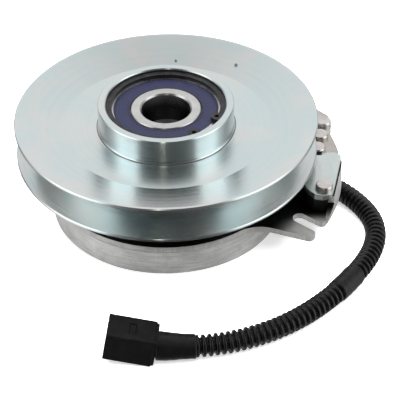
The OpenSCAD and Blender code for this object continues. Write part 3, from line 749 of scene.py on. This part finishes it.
for piece, node, slot in (
    (loom, "loom", "loom_plastic"),
    (band, "tape_band", "tape_vinyl"),
    (sleeve, "tape_end", "tape_vinyl"),
):
    piece.data.materials.append(MATERIALS[slot])
    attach(piece, "field")
    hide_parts(node)

# ---- leaf springs ----

SPRING_COUNT = 3
SPRING_SPAN = 52
SPRING_PITCH_R = 44 * MM
SPRING_CLAMP_R = 5.5 * MM
SPRING_CUTS = 12


def make_spring(index):
    """One leaf spring, cut from the CAD node and sliced across in even steps from the pulley's post to its
    pad.
    """
    source = NODES["leaf_springs"]
    first = math.radians(360 / SPRING_COUNT * index)
    last = first + math.radians(SPRING_SPAN)
    shape = bmesh.new()
    shape.from_mesh(source.data)
    shape.transform(source.matrix_world)
    others = [v for v in shape.verts
              if angle_gap(math.atan2(v.co.y, v.co.x), (first + last) / 2) > math.pi / SPRING_COUNT]
    bmesh.ops.delete(shape, geom=others, context="VERTS")
    height = sum(v.co.z for v in shape.verts) / len(shape.verts)
    post, pad = (Vector((SPRING_PITCH_R * math.cos(a), SPRING_PITCH_R * math.sin(a), height))
                 for a in (first, last))
    clamp = (pad - post).normalized() * SPRING_CLAMP_R
    start, end = post + clamp, pad - clamp
    for cut in range(SPRING_CUTS + 1):
        bmesh.ops.bisect_plane(shape, geom=shape.verts[:] + shape.edges[:] + shape.faces[:],
                               plane_co=start.lerp(end, cut / SPRING_CUTS), plane_no=end - start)
    mesh = bpy.data.meshes.new(f"leaf_spring_{index + 1}")
    shape.to_mesh(mesh)
    shape.free()
    spring = bpy.data.objects.new(mesh.name, mesh)
    bpy.context.scene.collection.objects.link(spring)
    mesh.materials.clear()
    mesh.materials.append(MATERIALS[SLOTS["leaf_springs"]])
    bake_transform(spring)
    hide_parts("leaf_springs")


for index in range(SPRING_COUNT):
    make_spring(index)

# ---- edges of the pressed and moulded pieces ----


EDGE_WIDTHS_MM = {
    "brake_strap_front": 0.45, "brake_backing_front": 0.3, "brake_plate_rear": 0.4,
    "brake_spacer_rear": 0.4, "brake_magnet_front": 0.6, "torque_plate": 0.35,
    "connector_housing": 0.45, "connector_lock": 0.25,
}
EDGE_STEPS = 2
SHARP_ANGLE = math.radians(38)
FLAT_ANGLE = math.radians(1.5)


def soften(name, width):
    """Breaks the sharp edges of a CAD node with modifiers, on top of its own mesh."""
    node = NODES[name]
    weld = node.modifiers.new("weld", "WELD")
    weld.merge_threshold = 0.002 * MM
    flat = node.modifiers.new("flat", "DECIMATE")
    flat.decimate_type = "DISSOLVE"
    flat.angle_limit = FLAT_ANGLE
    bevel = node.modifiers.new("edges", "BEVEL")
    bevel.width = width
    bevel.segments = EDGE_STEPS
    bevel.limit_method = "ANGLE"
    bevel.angle_limit = SHARP_ANGLE
    bevel.harden_normals = True


for node, width in EDGE_WIDTHS_MM.items():
    soften(node, width * MM)

# ---- floor, lights and surroundings ----


FLOOR_HALF = 20.0
FLOOR_DROP = 0.05 * MM
STUDIO_RING = ((0, 0.05), (26, 0.08), (44, 0.22), (56, 1.5), (86, 1.6), (102, 0.75), (121, 0.3),
               (142, 0.74), (160, 0.84), (180, 0.86))


def make_floor():
    corners = [(x * FLOOR_HALF, y * FLOOR_HALF, 0) for x, y in ((-1, -1), (1, -1), (1, 1), (-1, 1))]
    floor = add_mesh("floor", corners, [(0, 1, 2, 3)])
    floor.location.z = -FLOOR_DROP
    s = Surface("floor", Roughness=0.9, Specular_IOR_Level=0.1)
    s.set("Base Color", s.mix(s.noise(2.0, 2.0), (0.90, 0.90, 0.90), (0.92, 0.92, 0.92)))
    s.set("Emission Color", (1, 1, 1, 1))
    s.set("Emission Strength", 0.55)
    floor.data.materials.append(s.material)
    floor.visible_glossy = False


def make_surroundings():
    """A studio round the object: pale behind and above, a softbox on each side, dark in front.

    STUDIO_RING gives its brightness at angles from the front, the same to the left and to the right.
    """
    world = bpy.data.worlds.new("studio")
    bpy.context.scene.world = world
    world.use_nodes = True
    tree = world.node_tree
    background = tree.nodes["Background"]
    s = Surface.__new__(Surface)
    s.tree = tree
    direction = tree.nodes.new("ShaderNodeTexCoord").outputs["Generated"]
    x, y, z = s.split(direction)
    azimuth = s.math("ABSOLUTE", s.math("ARCTAN2", x, s.math("MULTIPLY", y, -1.0)))
    ring = tree.nodes.new("ShaderNodeValToRGB")
    ring.color_ramp.interpolation = "EASE"
    s.put(s.math("DIVIDE", azimuth, math.pi), ring.inputs["Fac"])
    stops = ring.color_ramp.elements
    while len(stops) < len(STUDIO_RING):
        stops.new(0.5)
    for stop, (angle, level) in zip(stops, STUDIO_RING):
        stop.position = angle / 180
        stop.color = (level, level, level, 1)
    overhead = s.math("MULTIPLY", s.remap(z, 0.74, 0.95), s.remap(y, -0.1, 0.15))
    front_top = s.math("MULTIPLY", s.remap(z, 0.72, 0.84), s.remap(y, 0.1, -0.1))
    sky = s.mix(overhead, ring.outputs["Color"], (0.62, 0.62, 0.62))
    sky = s.mix(front_top, sky, (0.12, 0.12, 0.12))
    dimmed = s.vector("MULTIPLY", ring.outputs["Color"], (0.62, 0.62, 0.61))
    below = s.vector("ADD", dimmed, (0.06, 0.06, 0.06))
    sky = s.mix(s.remap(z, 0.02, -0.06), sky, below)
    s.put(sky, background.inputs["Color"])
    background.inputs["Strength"].default_value = 1.0


def make_light(name, place, target, size, power, tint=(1, 1, 1)):
    data = bpy.data.lights.new(name, "AREA")
    data.shape = "RECTANGLE"
    data.size, data.size_y = size
    data.energy = power
    data.color = tint
    light = bpy.data.objects.new(name, data)
    bpy.context.scene.collection.objects.link(light)
    light.location = place
    light.rotation_mode = "QUATERNION"
    light.rotation_quaternion = (Vector(place) - Vector(target)).to_track_quat("Z", "Y")
    light.visible_camera = False
    return light


make_floor()
make_surroundings()
overhead = make_light("overhead", (0.1, 0.1, 1.4), (0.02, -0.02, 0), (1.9, 1.9), 110)
overhead.visible_glossy = False
make_light("strip", (-0.09, -0.66, 0.95), (0.02, -0.05, 0), (0.03, 0.4), 0.16, (1, 0.94, 0.78))
bpy.context.scene.view_settings.view_transform = "Standard"
